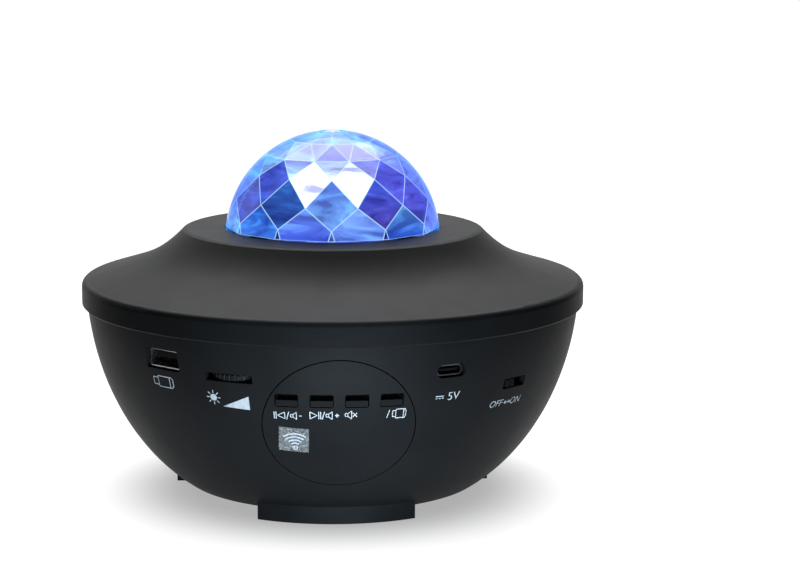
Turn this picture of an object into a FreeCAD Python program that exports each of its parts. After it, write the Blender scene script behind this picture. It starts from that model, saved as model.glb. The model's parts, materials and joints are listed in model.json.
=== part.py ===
import FreeCAD, Part
import os
from math import sin, cos, tan, radians, sqrt, pi, atan2, degrees

# Star night light projector: a bowl with a stepped cover and a faceted dome.
# All sizes in millimetres. +Z is up, -Y is the front, the origin is on the table under the middle.
# An azimuth is counted from the front, positive towards +X.

# Casing
rim_radius = 84.0
lip_z = 64.0
lip_overlap = 2.0
crown_z = 72.1
crown_round = 2.0
plateau_z = 88.6
plateau_radius = 49.6
plateau_round = 1.2
cover_wall = 2.2
rib_wall = 1.5
rib_reach = 3.0
bowl_wall = 2.2
bowl_middle_radius = 23.9
bowl_middle_z = 73.6
bowl_half_height = 77.8
lip_wall = 1.3
floor_z = 4.0
joint_gap = 0.3
fit_gap = 0.1

# Feet and base
foot_count = 3
foot_inner_radius = 41.0
foot_half_angle = 28.4
foot_lift = 0.5
pad_thickness = 1.6
pad_inset = 2.0
grille_hole_radius = 1.3
grille_pitch = 5.0
grille_rings = 3

# Dome: smooth outside, faceted inside
dome_radius = 36.0
dome_centre_z = 85.0
dome_wall = 1.4
dome_sides = 12
dome_turn = -2.1
dome_hole_gap = 0.3
first_ring_elevation = 11.2
second_ring_elevation = 23.2
top_ring_elevation = 66.8
kite_reach = 2.05
upper_kite_reach = 1.87
wedge_half_width = 1.9
wedge_drop = 5.8
flange_radius = 40.5
flange_thickness = 2.0
window_radius = 4.2
window_ledge = 1.0
window_sink = 0.3

# Sockets, wheel and switch in the bowl's wall
board_top_z = 53.0
board_thickness = 1.6
board_back_y = -36.0
usb_a_azimuth = -42.5
usb_a_width = 13.2
usb_a_height = 5.7
usb_a_depth = 14.0
usb_c_azimuth = 25.3
usb_c_width = 9.0
usb_c_height = 3.3
usb_c_depth = 8.0
shell_sheet = 0.35
socket_margin = 0.5
socket_recess = 1.4
wheel_azimuth = -24.8
wheel_radius = 9.0
wheel_thickness = 1.9
wheel_recess = 0.5
wheel_notches = 32
wheel_axle_radius = 1.6
wheel_slot_width = 15.8
wheel_slot_height = 2.7
switch_azimuth = 44.7
switch_slot_width = 10.5
switch_slot_height = 3.4
switch_drop = 4.1
switch_knob_width = 3.4
switch_travel = 4.0

# Control panel and keys
panel_radius = 23.4
panel_centre_z = 37.2
panel_tilt = 23.2
panel_groove = 0.35
panel_flange = 2.4
panel_flange_thickness = 1.4
key_count = 4
key_pitch = 7.86
key_opening_width = 7.4
key_opening_low_z = 44.4
key_opening_high_z = 48.8
key_lug_height = 1.8
key_plate_thickness = 1.2
key_plate_drop = 2.0
key_plate_rise = 0.8
key_side_gap = 0.3
remote_window_side = 9.2
remote_window_across = -13.8
remote_window_up = -4.6
remote_window_thickness = 1.2

# Light engine under the dome
chassis_z = 64.0
chassis_thickness = 2.0
chassis_radius = 51.0
post_circle = 45.0
post_radius = 4.0
screw_radius = 1.4
screw_head_radius = 2.8
screw_head_height = 1.8
heat_sink_radius = 17.0
heat_sink_height = 6.0
led_board_radius = 17.5
led_board_thickness = 1.6
led_circle = 11.0
led_count = 4
barrel_radius = 3.5
barrel_top_z = 88.0
gear_module = 0.8
ring_teeth = 74
pinion_teeth = 12
gear_width = 2.4
gear_z = 77.0
running_gap = 0.05
shaft_radius = 1.0
motor_radius = 7.5
motor_azimuth = 150.0
ripple_height = 7.0
ripple_count = 4
ripple_depth = 0.5
ripple_wall = 1.4

# Loudspeaker over the grille
speaker_radius = 24.0
speaker_frame_height = 9.0
speaker_sheet = 1.2
magnet_radius = 14.0
magnet_height = 8.0
surround_width = 3.2
surround_rise = 0.5
cone_depth = 4.4
cone_sheet = 0.5
dust_cap_radius = 7.0
dust_cap_depth = 1.6
gasket_thickness = 1.0

UP = FreeCAD.Vector(0, 0, 1)
CENTRE = FreeCAD.Vector(0, 0, 0)
FULL_TURN = 360.0
OVERSHOOT = 1.0


def vec(x, y, z):
    return FreeCAD.Vector(x, y, z)


def profile_point(radius, z):
    return vec(radius, 0, z)


def cylinder(radius, low_z, high_z, x=0.0, y=0.0):
    return Part.makeCylinder(radius, high_z - low_z, vec(x, y, low_z))


def tube(outer, inner, low_z, high_z, x=0.0, y=0.0):
    hole = cylinder(inner, low_z - OVERSHOOT, high_z + OVERSHOOT, x, y)
    return cylinder(outer, low_z, high_z, x, y).cut(hole)


def block(width, near_y, far_y, low_z, high_z, x=0.0):
    depth = far_y - near_y
    return Part.makeBox(width, depth, high_z - low_z, vec(x - width / 2, near_y, low_z))


def turned(shape, azimuth):
    copy = shape.copy()
    copy.rotate(CENTRE, UP, azimuth)
    return copy


def moved(shape, x, y, z):
    copy = shape.copy()
    copy.translate(vec(x, y, z))
    return copy


def at(azimuth, radius):
    return radius * sin(radians(azimuth)), -radius * cos(radians(azimuth))


def fused(shapes):
    whole = shapes[0]
    for shape in shapes[1:]:
        whole = whole.fuse(shape)
    return whole.removeSplitter()


def revolved(edges):
    face = Part.Face(Part.Wire(edges))
    return face.revolve(CENTRE, UP, FULL_TURN)


def line(a, b):
    return Part.LineSegment(a, b).toShape()


def lines(points):
    return [line(a, b) for a, b in zip(points[:-1], points[1:])]


def smooth(points):
    curve = Part.BSplineCurve()
    curve.interpolate(points)
    return curve.toShape()


def arc(a, b, c):
    return Part.Arc(a, b, c).toShape()


def sector(outer, inner, low_z, high_z, half_angle):
    ring = tube(outer, inner, low_z, high_z)
    reach = outer + OVERSHOOT
    side = reach * tan(radians(half_angle))
    corners = [vec(0, 0, low_z - OVERSHOOT), vec(side, -reach, low_z - OVERSHOOT)]
    corners += [vec(-side, -reach, low_z - OVERSHOOT), vec(0, 0, low_z - OVERSHOOT)]
    wedge = Part.Face(Part.makePolygon(corners)).extrude(vec(0, 0, high_z - low_z + 2 * OVERSHOOT))
    return ring.common(wedge)


def around(shape, count, start=0.0):
    return [turned(shape, start + FULL_TURN * i / count) for i in range(count)]


def screw(x, y, head_z, length, points_up=True):
    direction = 1 if points_up else -1
    head_low = head_z if points_up else head_z - screw_head_height
    head = cylinder(screw_head_radius, head_low, head_low + screw_head_height, x, y)
    shank_start = head_z + direction * screw_head_height
    shank_end = shank_start + direction * length
    shank = cylinder(screw_radius, min(shank_start, shank_end), max(shank_start, shank_end), x, y)
    return head.fuse(shank).removeSplitter()


def pilot(x, y, low_z, high_z):
    return cylinder(screw_radius + running_gap, low_z, high_z, x, y)


# Bowl surface: an ellipse turned about the upright axis, its top closing inside the cover's lip
bowl_top_z = lip_z + lip_overlap
bowl_top_radius = rim_radius - lip_wall - joint_gap
bowl_top_share = sqrt(1 - ((bowl_top_z - bowl_middle_z) / bowl_half_height) ** 2)
bowl_half_width = (bowl_top_radius - bowl_middle_radius) / bowl_top_share


def bowl_radius(z, inset=0.0):
    share = (z - bowl_middle_z) / (bowl_half_height - inset)
    return bowl_middle_radius + (bowl_half_width - inset) * sqrt(max(1 - share ** 2, 0))


def bowl_blank(inset, low_z, high_z, spans=8):
    heights = [low_z + (high_z - low_z) * (i / spans) ** 1.5 for i in range(spans + 1)]
    side = [profile_point(bowl_radius(z, inset), z) for z in heights]
    bottom, top = profile_point(0, low_z), profile_point(0, high_z)
    return revolved([smooth(side)] + lines([side[-1], top, bottom, side[0]]))


inner_floor_z = floor_z + bowl_wall
foot_radius = bowl_radius(inner_floor_z)
board_low_z = board_top_z - board_thickness
board_radius = bowl_radius(board_low_z, bowl_wall) - panel_flange_thickness - joint_gap
outer_skin = bowl_blank(0, floor_z, bowl_top_z)


def bowl_layer(outer_inset, inner_inset):
    """Skin of the bowl between two depths under its outer surface."""
    outer = bowl_blank(outer_inset, inner_floor_z, bowl_top_z)
    return outer.cut(bowl_blank(inner_inset, inner_floor_z + inner_inset, bowl_top_z + OVERSHOOT))


# Control panel frame: its axis points out and down from the bowl
panel_out = vec(0, -cos(radians(panel_tilt)), -sin(radians(panel_tilt)))
panel_up = vec(0, -sin(radians(panel_tilt)), cos(radians(panel_tilt)))
panel_centre = vec(0, -bowl_radius(panel_centre_z) + OVERSHOOT, panel_centre_z)
panel_reach = 22.0


def panel_disc(radius):
    start = panel_centre - panel_out * panel_reach
    return Part.makeCylinder(radius, 2 * panel_reach, start, panel_out)


def window_prism(side):
    across = vec(1, 0, 0)
    middle = panel_centre + across * remote_window_across + panel_up * remote_window_up
    low = middle - across * (side / 2) - panel_up * (side / 2) - panel_out * panel_reach
    corners = [low, low + across * side, low + across * side + panel_up * side, low + panel_up * side, low]
    return Part.Face(Part.makePolygon(corners)).extrude(panel_out * 2 * panel_reach)


def rounded_block(width, near_y, far_y, low_z, high_z, corner):
    solid = block(width, near_y, far_y, low_z, high_z)
    upright = [e for e in solid.Edges if abs(e.Vertexes[0].Y - e.Vertexes[1].Y) > OVERSHOOT]
    return solid.makeFillet(corner, upright)


# Openings in the bowl's wall, all cut from just inside the wall to the outside
wall_near_y = -rim_radius
usb_a_low_z = board_top_z
usb_a_mid_z = usb_a_low_z + usb_a_height / 2
usb_c_mid_z = board_top_z + usb_c_height / 2
wheel_mid_z = board_top_z - wheel_thickness / 2 + 0.65
switch_mid_z = board_low_z - switch_drop


def wall_slot(azimuth, width, height, mid_z, corner):
    far_y = -bowl_radius(mid_z - height / 2, bowl_wall) + 2 * socket_recess + bowl_wall
    return turned(rounded_block(width, wall_near_y, far_y, mid_z - height / 2, mid_z + height / 2, corner), azimuth)


def wall_slots():
    margin = 2 * socket_margin
    usb_a = wall_slot(usb_a_azimuth, usb_a_width + margin, usb_a_height + margin, usb_a_mid_z, 0.4)
    usb_c_tall = usb_c_height + margin
    usb_c = wall_slot(usb_c_azimuth, usb_c_width + margin, usb_c_tall, usb_c_mid_z, usb_c_tall / 2.2)
    wheel = wall_slot(wheel_azimuth, wheel_slot_width, wheel_slot_height, wheel_mid_z, 0.4)
    switch = wall_slot(switch_azimuth, switch_slot_width, switch_slot_height, switch_mid_z, 0.4)
    return [usb_a, usb_c, wheel, switch]


# Posts and screws that hold the casing together
def post_places(start):
    return [at(start + FULL_TURN * i / foot_count, post_circle) for i in range(foot_count)]


base_post_start = FULL_TURN / foot_count / 2
chassis_post_start = 0.0
base_screw_head_z = 42.0
base_screw_web = 4.0
base_screw_length = 12.0
base_post_top_z = base_screw_head_z + screw_head_height + base_screw_web
board_post_radius = 3.0
board_screw_length = 6.0
board_post_margin = 6.0
board_inner_posts_x = 24.0
board_posts_y = board_back_y - board_post_margin
board_outer_posts_x = sqrt((board_radius - board_post_margin) ** 2 - board_posts_y ** 2)
board_posts = [(x, board_posts_y) for x in (-board_outer_posts_x, -board_inner_posts_x,
                                            board_inner_posts_x, board_outer_posts_x)]


def grille_holes():
    depth_low, depth_high = floor_z - OVERSHOOT, inner_floor_z + OVERSHOOT
    holes = [cylinder(grille_hole_radius, depth_low, depth_high)]
    for ring in range(1, grille_rings + 1):
        hole = cylinder(grille_hole_radius, depth_low, depth_high, 0, -ring * grille_pitch)
        holes += around(hole, 6 * ring)
    return holes


# Speaker stack, from the floor up
gasket_top_z = inner_floor_z + gasket_thickness
speaker_flange_z = gasket_top_z + speaker_sheet
speaker_top_z = gasket_top_z + speaker_frame_height
speaker_inner = speaker_radius - 4.0
speaker_screw_circle = speaker_radius + 3.0
speaker_ear_radius = 3.4
speaker_screw_length = 5.0


def speaker_boss_places():
    return [at(FULL_TURN * (i + 0.5) / 4, speaker_screw_circle) for i in range(4)]


def lower_bowl():
    shell = outer_skin.cut(bowl_blank(bowl_wall, inner_floor_z, bowl_top_z + OVERSHOOT))
    foot = sector(foot_radius, foot_inner_radius, foot_lift, inner_floor_z, foot_half_angle)
    pad_seat = sector(foot_radius - pad_inset + fit_gap, foot_inner_radius + pad_inset - fit_gap,
                      foot_lift - OVERSHOOT, pad_thickness, foot_half_angle - pad_inset)
    solid = fused([shell] + around(foot, foot_count))
    additions = []
    for x, y in post_places(base_post_start):
        additions.append(cylinder(post_radius, floor_z, base_post_top_z, x, y))
    for x, y in board_posts:
        additions.append(cylinder(board_post_radius, floor_z, board_low_z, x, y).common(outer_skin))
    for x, y in speaker_boss_places():
        additions.append(cylinder(speaker_ear_radius, floor_z, gasket_top_z, x, y))
    solid = fused([solid] + additions)
    cuts = around(pad_seat, foot_count) + grille_holes() + wall_slots()
    cuts.append(panel_disc(panel_radius + panel_groove).common(front_half()))
    for x, y in post_places(base_post_start):
        cuts.append(cylinder(screw_head_radius + fit_gap, 0, base_screw_head_z + screw_head_height, x, y))
        cuts.append(pilot(x, y, base_screw_head_z, base_post_top_z + OVERSHOOT))
    for x, y in board_posts:
        cuts.append(pilot(x, y, board_low_z - board_screw_length - 1, board_low_z + OVERSHOOT))
    for x, y in speaker_boss_places():
        cuts.append(pilot(x, y, inner_floor_z - 1.2, gasket_top_z + OVERSHOOT))
    return solid.cut(cuts)


def front_half():
    return block(2 * rim_radius, -rim_radius - 2 * panel_reach, board_back_y, -panel_reach, crown_z)


def foot_pads():
    pad = sector(foot_radius - pad_inset, foot_inner_radius + pad_inset, 0, pad_thickness - fit_gap,
                 foot_half_angle - pad_inset - 0.3)
    return Part.makeCompound(around(pad, foot_count))


def base_screws():
    places = post_places(base_post_start)
    return Part.makeCompound([screw(x, y, base_screw_head_z, base_screw_length) for x, y in places])


# Stepped cover with its concave flank
hole_radius = sqrt(dome_radius ** 2 - (plateau_z - dome_centre_z) ** 2) + dome_hole_gap
cove = [(0.6, -0.5), (4.0, -3.8), (10.0, -8.2), (20.9, -12.9)]
cover_under_z = plateau_z - cover_wall
rib_outer_radius = bowl_radius(bowl_top_z - rib_reach - lip_overlap, bowl_wall) - joint_gap
rib_low_z = bowl_top_z - rib_reach - lip_overlap
ring_screw_circle = 43.6
ring_boss_radius = 2.6
ring_screw_length = 3.6
ring_thickness = 2.4


def cover_profile():
    edge = plateau_radius - plateau_round
    flank = [profile_point(plateau_radius + r, plateau_z + z) for r, z in cove]
    crown = profile_point(rim_radius - crown_round, crown_z)
    side_top = profile_point(rim_radius, crown_z - crown_round)
    bend = crown_round * (1 - cos(pi / 4))
    bend_middle = profile_point(rim_radius - bend, crown_z - bend)
    round_end = profile_point(plateau_radius + cove[0][0], plateau_z + cove[0][1])
    round_middle = profile_point((edge + round_end.x) / 2 + 0.1, plateau_z - 0.12)
    lip_inner = bowl_radius(bowl_top_z) + joint_gap
    step_z = bowl_top_z + joint_gap
    rib_inner_radius = rib_outer_radius - rib_wall
    outer = [line(profile_point(hole_radius, plateau_z), profile_point(edge, plateau_z))]
    outer.append(arc(profile_point(edge, plateau_z), round_middle, round_end))
    outer.append(smooth(flank + [crown]))
    outer.append(arc(crown, bend_middle, side_top))
    lip = [side_top, profile_point(rim_radius, lip_z + 0.5), profile_point(rim_radius - 0.5, lip_z)]
    lip += [profile_point(lip_inner, lip_z), profile_point(lip_inner, step_z)]
    lip += [profile_point(rib_outer_radius, step_z), profile_point(rib_outer_radius, rib_low_z)]
    lip += [profile_point(rib_inner_radius, rib_low_z)]
    inner = [profile_point(p.x - cover_wall / 2, p.z - cover_wall * 0.95) for p in flank[1:]]
    inner_start = profile_point(rib_inner_radius, crown_z - cover_wall / 2)
    inner_end = profile_point(plateau_radius - cover_wall, cover_under_z)
    lip.append(inner_start)
    outer += lines(lip)
    outer.append(smooth([inner_start] + inner[::-1] + [inner_end]))
    outer += lines([inner_end, profile_point(hole_radius, cover_under_z), profile_point(hole_radius, plateau_z)])
    return outer


def top_cover():
    cover = revolved(cover_profile())
    top = plateau_z - cover_wall / 2
    base_posts = [cylinder(post_radius, base_post_top_z, top, x, y) for x, y in post_places(base_post_start)]
    deck_posts = [cylinder(post_radius, chassis_z + chassis_thickness, top, x, y)
                  for x, y in post_places(chassis_post_start)]
    boss_low = dome_flange_low_z
    bosses = around(cylinder(ring_boss_radius, boss_low, top, 0, -ring_screw_circle), 4, 45)
    cover = fused([cover] + base_posts + deck_posts + bosses)
    cuts = []
    for x, y in post_places(base_post_start):
        cuts.append(pilot(x, y, base_post_top_z - 1, base_post_top_z + base_screw_length))
    for x, y in post_places(chassis_post_start):
        cuts.append(pilot(x, y, chassis_z, chassis_z + chassis_thickness + chassis_screw_length + 1))
    cuts += around(pilot(0, -ring_screw_circle, boss_low - 1, boss_low + ring_screw_length - 1), 4, 45)
    return cover.cut(cuts)


# Faceted hollow of the dome: rings of corners, every second ring turned by half a facet
def ring_at(radius, elevation):
    return radius * cos(radians(elevation)), radius * sin(radians(elevation))


def beyond(low, high, reach):
    """Corner reached by leaning past the next ring, in the same flat facet."""
    middle = high[0] * cos(pi / dome_sides)
    return low[0] + (middle - low[0]) * reach, low[1] + (high[1] - low[1]) * reach


def dome_rings(radius):
    first = ring_at(radius, first_ring_elevation)
    second = ring_at(radius, second_ring_elevation)
    third = beyond(first, second, kite_reach)
    fourth = beyond(second, third, upper_kite_reach)
    fifth = ring_at(radius, top_ring_elevation)
    last_radius = window_radius + window_ledge
    return [first, second, third, fourth, fifth, (last_radius, sqrt(radius ** 2 - last_radius ** 2))]


def dome_corner(ring, index, half):
    angle = radians(dome_turn) + 2 * pi * (index + (0.5 if half else 0.0)) / dome_sides
    return vec(ring[0] * sin(angle), -ring[0] * cos(angle), dome_centre_z + ring[1])


def dome_foot_corner(first, second, index, side, z):
    """Lower corner of a bottom facet: the facet leans out on its way down and narrows to a wedge."""
    middle = first[0] * cos(pi / dome_sides)
    lean = (middle - second[0]) / (second[1] - first[1])
    reach = middle + lean * min(first[1] - (z - dome_centre_z), wedge_drop)
    across = side * (reach * tan(pi / dome_sides) - wedge_half_width)
    angle = radians(dome_turn) + 2 * pi * (index + 0.5) / dome_sides
    return vec(reach * sin(angle) + across * cos(angle), across * sin(angle) - reach * cos(angle), z)


def dome_hollow(radius, low_z):
    rings = dome_rings(radius)
    a, b, c, d, e, f = rings
    wedge_z = dome_centre_z + a[1] - wedge_drop
    faces, bottom = [], []
    for i in range(dome_sides):
        j = i + 1
        a0, a1 = dome_corner(a, i, False), dome_corner(a, j, False)
        b0, b1 = dome_corner(b, i, True), dome_corner(b, j, True)
        c0, c1 = dome_corner(c, i, False), dome_corner(c, j, False)
        d0, d1 = dome_corner(d, i, True), dome_corner(d, j, True)
        e0, e1 = dome_corner(e, i, False), dome_corner(e, j, False)
        f0, f1 = dome_corner(f, i, False), dome_corner(f, j, False)
        w0, w1 = dome_foot_corner(a, b, i, -1, wedge_z), dome_foot_corner(a, b, i, 1, wedge_z)
        w2 = dome_foot_corner(a, b, j, -1, wedge_z)
        g0, g1, g2 = [vec(w.x, w.y, low_z) for w in (w0, w1, w2)]
        loops = [[w0, w1, a1, b0, a0], [w1, w2, a1], [g0, g1, w1, w0], [g1, g2, w2, w1]]
        loops += [[a1, b1, c1, b0], [b0, c1, d0, c0], [c1, d1, d0], [d0, d1, e1], [d0, e1, e0], [e0, e1, f1, f0]]
        faces += [Part.Face(Part.makePolygon(loop + [loop[0]])) for loop in loops]
        bottom += [g0, g1]
    top = [dome_corner(f, i, False) for i in range(dome_sides)]
    faces += [Part.Face(Part.makePolygon(loop + [loop[0]])) for loop in (top, bottom)]
    solid = Part.makeSolid(Part.makeShell(faces))
    if solid.Volume < 0:
        solid.reverse()
    return solid


dome_flange_top_z = cover_under_z - fit_gap
dome_flange_low_z = dome_flange_top_z - flange_thickness


def faceted_dome():
    top = dome_centre_z + dome_radius
    above = cylinder(dome_radius + OVERSHOOT, dome_flange_low_z, top)
    outer = Part.makeSphere(dome_radius, vec(0, 0, dome_centre_z)).common(above)
    flange = cylinder(flange_radius, dome_flange_low_z, dome_flange_top_z)
    hollow = dome_hollow(dome_radius - dome_wall, dome_flange_low_z - OVERSHOOT)
    window = cylinder(window_radius, dome_centre_z, top + OVERSHOOT)
    return outer.fuse(flange).removeSplitter().cut([hollow, window])


def dome_window():
    rim_z = dome_centre_z + sqrt(dome_radius ** 2 - window_radius ** 2) - window_sink
    inside = dome_centre_z + dome_rings(dome_radius - dome_wall)[-1][1]
    top = dome_centre_z + dome_radius
    pane = cylinder(window_radius - fit_gap, inside, rim_z)
    lens = Part.makeSphere(2 * window_radius, vec(0, 0, top - 2 * window_radius))
    return cylinder(window_radius - fit_gap, inside, top).common(lens).fuse(pane).removeSplitter()


def dome_ring():
    top = dome_flange_low_z - fit_gap
    low = top - ring_thickness
    ring = tube(ring_screw_circle + ring_boss_radius, flange_radius - 4.0, low, top)
    holes = around(pilot(0, -ring_screw_circle, low - 1, top + 1), 4, 45)
    notches = [cylinder(post_radius + joint_gap, low - 1, top + 1, x, y)
               for x, y in post_places(base_post_start) + post_places(chassis_post_start)]
    return ring.cut(holes + notches)


def dome_ring_screws():
    low = dome_flange_low_z - fit_gap - ring_thickness
    one = screw(0, -ring_screw_circle, low - screw_head_height, ring_screw_length)
    return Part.makeCompound(around(one, 4, 45))


# Control panel, keys and remote window
key_rest_radius = bowl_radius(key_opening_low_z - key_plate_drop, bowl_wall) - joint_gap
key_plate_low_z = key_opening_low_z - key_plate_drop
key_plate_high_z = key_opening_high_z + key_plate_rise
shelf_depth = 2.6
shelf_height = 1.2


def key_azimuths():
    return [key_pitch * (i - (key_count - 1) / 2) for i in range(key_count)]


def control_panel():
    disc = bowl_layer(0, bowl_wall).common(panel_disc(panel_radius))
    flange = bowl_layer(bowl_wall + fit_gap, bowl_wall + panel_flange_thickness)
    flange = flange.common(panel_disc(panel_radius + panel_flange))
    flange = flange.cut(panel_disc(panel_radius - panel_flange))
    flange = flange.common(cylinder(rim_radius, 0, rib_low_z - joint_gap))
    bridge = bowl_layer(bowl_wall - fit_gap, bowl_wall + 2 * fit_gap).common(panel_disc(panel_radius))
    bridge = bridge.cut(panel_disc(panel_radius - panel_flange))
    shelf_high = key_plate_low_z - joint_gap
    shelf = tube(key_rest_radius + OVERSHOOT, key_rest_radius - shelf_depth, shelf_high - shelf_height, shelf_high)
    shelf_half_angle = key_pitch * key_count / 2
    shelf = shelf.common(sector(rim_radius, foot_inner_radius, 0, crown_z, shelf_half_angle))
    panel = disc.common(front_half()).fuse([flange.common(front_half()), bridge.common(front_half()), shelf])
    cuts = []
    for azimuth in key_azimuths():
        opening = rounded_block(key_opening_width, wall_near_y, -key_rest_radius + shelf_depth,
                                key_opening_low_z, key_opening_high_z, 0.7)
        cuts.append(turned(opening, azimuth))
    seat = window_prism(remote_window_side + 2 * fit_gap)
    cuts.append(bowl_layer(-OVERSHOOT, remote_window_thickness + fit_gap).common(seat).common(front_half()))
    lens_hole = window_prism(remote_window_side - 3.0)
    cuts.append(lens_hole.common(front_half()))
    return panel.cut(cuts).removeSplitter()


def remote_window():
    layer = bowl_layer(0.1, remote_window_thickness)
    return layer.common(window_prism(remote_window_side)).common(front_half())


def key(azimuth):
    width = key_opening_width - 2 * key_side_gap
    lug_low = key_opening_low_z + key_side_gap
    lug_high = lug_low + key_lug_height
    front = -bowl_radius(lug_low)
    back = -key_rest_radius + key_plate_thickness
    plate = block(width + 1.6, -key_rest_radius, back, key_plate_low_z, key_plate_high_z)
    face = [vec(0, front + 0.05, lug_low), vec(0, front + 0.45, lug_high)]
    face += [vec(0, -key_rest_radius + 0.2, lug_high), vec(0, -key_rest_radius + 0.2, lug_low)]
    lug = Part.Face(Part.makePolygon(face + [face[0]])).extrude(vec(width, 0, 0))
    lug.translate(vec(-width / 2, 0, 0))
    return turned(plate.fuse(lug).removeSplitter(), azimuth)


tact_plunger_gap = 0.6
tact_front_radius = key_rest_radius - key_plate_thickness - tact_plunger_gap
tact_plunger_length = 1.6
tact_side = 5.2
tact_depth = 4.0


def tact_switches():
    switches = []
    body_radius = tact_front_radius - tact_plunger_length
    mid_z = board_low_z - tact_side / 2
    for azimuth in key_azimuths():
        body = block(tact_side, -body_radius, -body_radius + tact_depth, board_low_z - tact_side, board_low_z)
        plunger = Part.makeCylinder(1.5, tact_plunger_length, vec(0, -tact_front_radius, mid_z), vec(0, 1, 0))
        switches.append(turned(body.fuse(plunger).removeSplitter(), azimuth))
    return Part.makeCompound(switches)


# Main board and its sockets
wheel_centre_radius = bowl_radius(wheel_mid_z) - wheel_recess - wheel_radius
wheel_x, wheel_y = at(wheel_azimuth, wheel_centre_radius)
pot_height = 2.4


def main_board():
    board = cylinder(board_radius, board_low_z, board_top_z)
    board = board.common(block(2 * rim_radius, -rim_radius, board_back_y, board_low_z, board_top_z))
    cuts = [cylinder(wheel_radius + 2 * joint_gap, board_low_z - 1, board_top_z + 1, wheel_x, wheel_y)]
    cuts += [pilot(x, y, board_low_z - 1, board_top_z + 1) for x, y in board_posts]
    cuts += [cylinder(post_radius + 2 * joint_gap, board_low_z - 1, board_top_z + 1, x, y)
             for x, y in post_places(chassis_post_start) + post_places(base_post_start)]
    return board.cut(cuts)


def board_screws():
    places = board_posts
    top = board_top_z + screw_head_height
    return Part.makeCompound([screw(x, y, top, board_screw_length, False) for x, y in places])


def socket_front(mid_z, height):
    return bowl_radius(mid_z - height / 2) - socket_recess


def usb_a_shell():
    front = -socket_front(usb_a_mid_z, usb_a_height)
    outer = block(usb_a_width, front, front + usb_a_depth, usb_a_low_z, usb_a_low_z + usb_a_height)
    inner = block(usb_a_width - 2 * shell_sheet, front - 1, front + usb_a_depth - shell_sheet,
                  usb_a_low_z + shell_sheet, usb_a_low_z + usb_a_height - shell_sheet)
    return turned(outer.cut(inner), usb_a_azimuth)


usb_a_tongue_thickness = 1.9
usb_a_tongue_recess = 0.9


def usb_a_tongue():
    front = -socket_front(usb_a_mid_z, usb_a_height)
    inner_low = usb_a_low_z + shell_sheet
    inner_high = usb_a_low_z + usb_a_height - shell_sheet
    back_y = front + usb_a_depth - shell_sheet
    plug = block(usb_a_width - 3 * shell_sheet, back_y - 2.5, back_y, inner_low + fit_gap, inner_high - fit_gap)
    tongue = block(usb_a_width - 2.0, front + usb_a_tongue_recess, back_y,
                   inner_high - 0.5 - usb_a_tongue_thickness, inner_high - 0.5)
    return turned(plug.fuse(tongue).removeSplitter(), usb_a_azimuth)


def usb_c_shell():
    front = -socket_front(usb_c_mid_z, usb_c_height)
    low, high = board_top_z, board_top_z + usb_c_height
    outer = rounded_block(usb_c_width, front, front + usb_c_depth, low, high, usb_c_height / 2.1)
    sheet = shell_sheet
    inner = rounded_block(usb_c_width - 2 * sheet, front - 1.1, front + usb_c_depth - sheet, low + sheet,
                          high - sheet, (usb_c_height - 2 * sheet) / 2.1)
    return turned(outer.cut(inner), usb_c_azimuth)


def usb_c_tongue():
    front = -socket_front(usb_c_mid_z, usb_c_height)
    back_y = front + usb_c_depth - shell_sheet
    plug = block(usb_c_width - usb_c_height, back_y - 1.5, back_y, board_top_z + shell_sheet + fit_gap,
                 board_top_z + usb_c_height - shell_sheet - fit_gap)
    tongue = block(usb_c_width - usb_c_height + 0.8, front + 0.8, back_y, usb_c_mid_z - 0.35, usb_c_mid_z + 0.35)
    return turned(plug.fuse(tongue).removeSplitter(), usb_c_azimuth)


def brightness_wheel():
    low, high = wheel_mid_z - wheel_thickness / 2, wheel_mid_z + wheel_thickness / 2
    wheel = cylinder(wheel_radius, low, high)
    edges = [e for e in wheel.Edges if len(e.Vertexes) == 1]
    wheel = wheel.makeChamfer(0.3, edges)
    notch = cylinder(0.45, low - 1, high + 1, 0, -wheel_radius - 0.15)
    recess = tube(wheel_radius - 2.0, wheel_axle_radius + 1.6, high - 0.5, high + 1)
    bore = cylinder(wheel_axle_radius + running_gap, low - 1, high + 1)
    wheel = wheel.cut(around(notch, wheel_notches) + [recess, bore])
    return moved(wheel, wheel_x, wheel_y, 0)


def potentiometer():
    width = 2 * wheel_radius + 6.0
    inner_edge = -wheel_centre_radius + wheel_radius + 2.5
    body = block(width, -wheel_centre_radius - 4.0, inner_edge, board_low_z - pot_height, board_low_z)
    pot = turned(body, wheel_azimuth)
    high = wheel_mid_z + wheel_thickness / 2
    axle = cylinder(wheel_axle_radius, board_low_z - 1, high + 0.2, wheel_x, wheel_y)
    return pot.fuse(axle).removeSplitter()


switch_body_width = 11.0
switch_body_depth = 6.0
switch_knob_height = 2.2
switch_front_gap = 1.0
switch_body_radius = bowl_radius(switch_mid_z - switch_slot_height / 2, bowl_wall) - switch_front_gap
switch_groove_depth = 2.6


def slide_switch_body():
    low = switch_mid_z - switch_slot_height / 2 - 0.2
    body = block(switch_body_width, -switch_body_radius, -switch_body_radius + switch_body_depth, low, board_low_z)
    groove_width = switch_travel + switch_knob_width + 2 * joint_gap
    groove = block(groove_width, -switch_body_radius - 1, -switch_body_radius + switch_groove_depth,
                   switch_mid_z - switch_knob_height / 2 - fit_gap, switch_mid_z + switch_knob_height / 2 + fit_gap)
    return turned(body.cut(groove), switch_azimuth)


def power_slider():
    low, high = switch_mid_z - switch_knob_height / 2, switch_mid_z + switch_knob_height / 2
    tip = -bowl_radius(switch_mid_z) + 0.2
    root = -switch_body_radius + switch_groove_depth - fit_gap
    knob = block(switch_knob_width, tip, root, low, high, -switch_travel / 2)
    grips = [block(0.5, tip - 1, tip + 0.4, low - 1, high + 1, -switch_travel / 2 + offset)
             for offset in (-0.9, 0.0, 0.9)]
    return turned(knob.cut(grips), switch_azimuth)


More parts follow.
